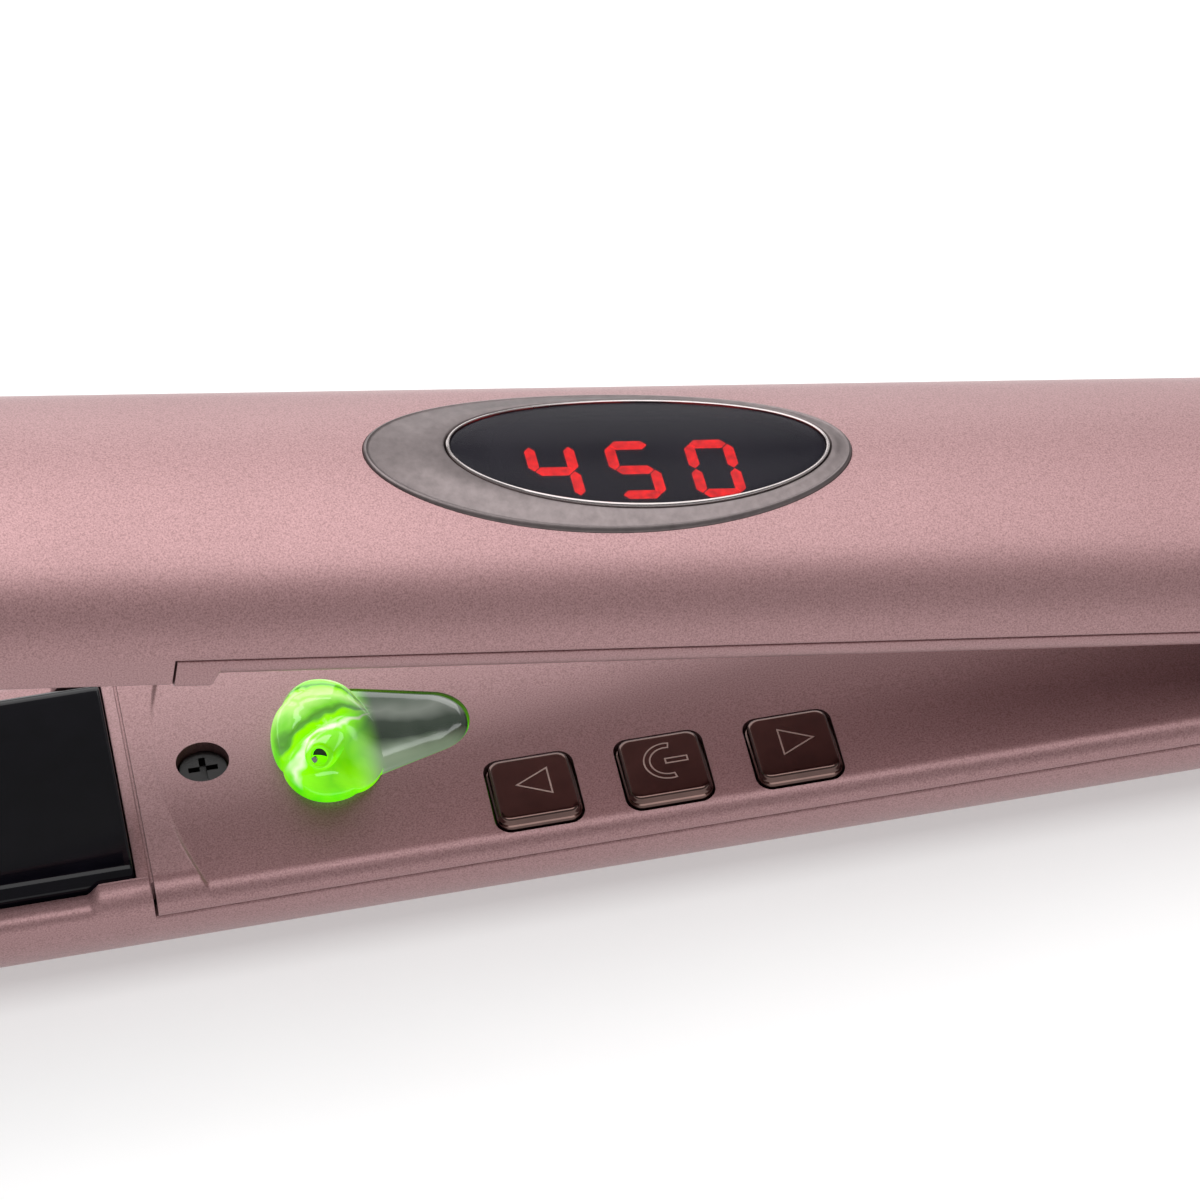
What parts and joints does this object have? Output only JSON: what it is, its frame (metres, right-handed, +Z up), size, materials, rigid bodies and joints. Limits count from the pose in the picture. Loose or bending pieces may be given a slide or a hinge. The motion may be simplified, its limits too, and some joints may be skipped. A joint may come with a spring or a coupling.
{
  "type": "flat iron",
  "caption": "Hair-straightening iron with two sprung hinged arms, floating heater plates, an oval display, square buttons and an ion outlet.",
  "frame": {"origin": "middle of the bounding box in X and Y, on the surface that the lower arm rests on", "axes": "+X along the lower arm from the tips towards the hinge and cord inlet, +Y across the arms, +Z up"},
  "size_m": [0.2746, 0.032, 0.0745],
  "materials": {
    "arm_paint": "satin metallic rose-gold paint over moulded nylon",
    "cover_paint": "satin metallic rose-gold paint over moulded nylon",
    "plate_coating": "black glossy ceramic coating on extruded aluminium",
    "heat_plastic": "black heat-resistant moulding",
    "silicone": "soft silicone",
    "lead_sleeve": "braided glass sleeve",
    "heater_ceramic": "ceramic heating element",
    "spring_steel": "plain spring steel",
    "sensor_glass": "glass bead",
    "black_screw": "black oxide",
    "zinc_screw": "bright zinc",
    "button_chrome": "dark bronze plated plastic",
    "switch_body": "moulded",
    "circuit_board": "green solder mask",
    "capacitor_sleeve": "shrink sleeve",
    "component_black": "epoxy",
    "ion_clear": "clear moulding lit green from below",
    "lamp_green": "lit green lamp",
    "washer_nylon": "natural nylon",
    "bezel_gunmetal": "brushed gunmetal plating",
    "ring_silver": "polished silver",
    "lens_smoke": "smoked lens",
    "digit_red": "lit red segments",
    "pin_steel": "ground steel",
    "cap_bronze": "dark bronze plated cap",
    "gland_black": "black moulded nylon"
  },
  "bodies": {
    "lower_arm": {"lower_housing": "arm_paint", "lower_inner_cover": "cover_paint", "lower_plate_frame": "heat_plastic", "lower_plate_cushions": "silicone", "lower_heater_leads": "lead_sleeve", "lower_cover_screws": "black_screw", "button_switches": "switch_body", "control_board": "circuit_board", "board_screws": "zinc_screw", "supply_capacitor": "capacitor_sleeve", "heater_triac": "component_black", "ion_outlet": "ion_clear", "ion_needle": "spring_steel", "ion_lamp": "lamp_green", "ion_generator": "component_black", "hinge_washer": "washer_nylon", "hinge_spring": "spring_steel", "swivel_retainer": "heat_plastic"},
    "upper_arm": {"upper_housing": "arm_paint", "upper_inner_cover": "cover_paint", "upper_plate_frame": "heat_plastic", "upper_plate_cushions": "silicone", "upper_heater_leads": "lead_sleeve", "upper_cover_screws": "black_screw", "display_bezel": "bezel_gunmetal", "display_trim_ring": "ring_silver", "display_lens": "lens_smoke", "display_module": "component_black", "display_digits": "digit_red", "display_board": "circuit_board", "display_board_screws": "zinc_screw", "hinge_pin": "pin_steel", "hinge_caps": "cap_bronze"},
    "lower_plate": {"lower_plate": "plate_coating", "lower_heater": "heater_ceramic", "lower_heater_clamp": "spring_steel", "lower_thermistor": "sensor_glass"},
    "upper_plate": {"upper_plate": "plate_coating", "upper_heater": "heater_ceramic", "upper_heater_clamp": "spring_steel", "upper_thermistor": "sensor_glass"},
    "temp_down_button": {"temp_down_button": "button_chrome"},
    "power_button": {"power_button": "button_chrome"},
    "temp_up_button": {"temp_up_button": "button_chrome"},
    "swivel_gland": {"swivel_gland": "gland_black"}
  },
  "joints": [
    {"name": "arm_hinge", "type": "hinge", "parent": "lower_arm", "child": "upper_arm", "pos_m": [0.12075, 0, 0.0141], "axis": [0, 1, 0], "range_deg": [-10.52, 0], "stiffness_Nm_per_rad": 1.5, "springref_deg": 20.05, "deforming": ["hinge_spring"]},
    {"name": "lower_plate_float", "type": "slide", "parent": "lower_arm", "child": "lower_plate", "axis": [0, 0, 1], "range_m": [-0.001, 0], "stiffness_N_per_m": 3000, "springref_m": 0.0008, "deforming": ["lower_plate_cushions"]},
    {"name": "upper_plate_float", "type": "slide", "parent": "upper_arm", "child": "upper_plate", "axis": [-0.1826, 0, -0.9832], "range_m": [-0.001, 0], "stiffness_N_per_m": 3000, "springref_m": 0.0008, "deforming": ["upper_plate_cushions"]},
    {"name": "temp_down_button_press", "type": "slide", "parent": "lower_arm", "child": "temp_down_button", "axis": [0, 0, 1], "range_m": [-0.0005, 0], "stiffness_N_per_m": 600, "springref_m": 0.0005},
    {"name": "power_button_press", "type": "slide", "parent": "lower_arm", "child": "power_button", "axis": [0, 0, 1], "range_m": [-0.0005, 0], "stiffness_N_per_m": 600, "springref_m": 0.0005},
    {"name": "temp_up_button_press", "type": "slide", "parent": "lower_arm", "child": "temp_up_button", "axis": [0, 0, 1], "range_m": [-0.0005, 0], "stiffness_N_per_m": 600, "springref_m": 0.0005},
    {"name": "gland_swivel", "type": "hinge", "parent": "lower_arm", "child": "swivel_gland", "pos_m": [0.13505, 0, 0.0141], "axis": [1, 0, 0], "continuous": true}
  ]
}
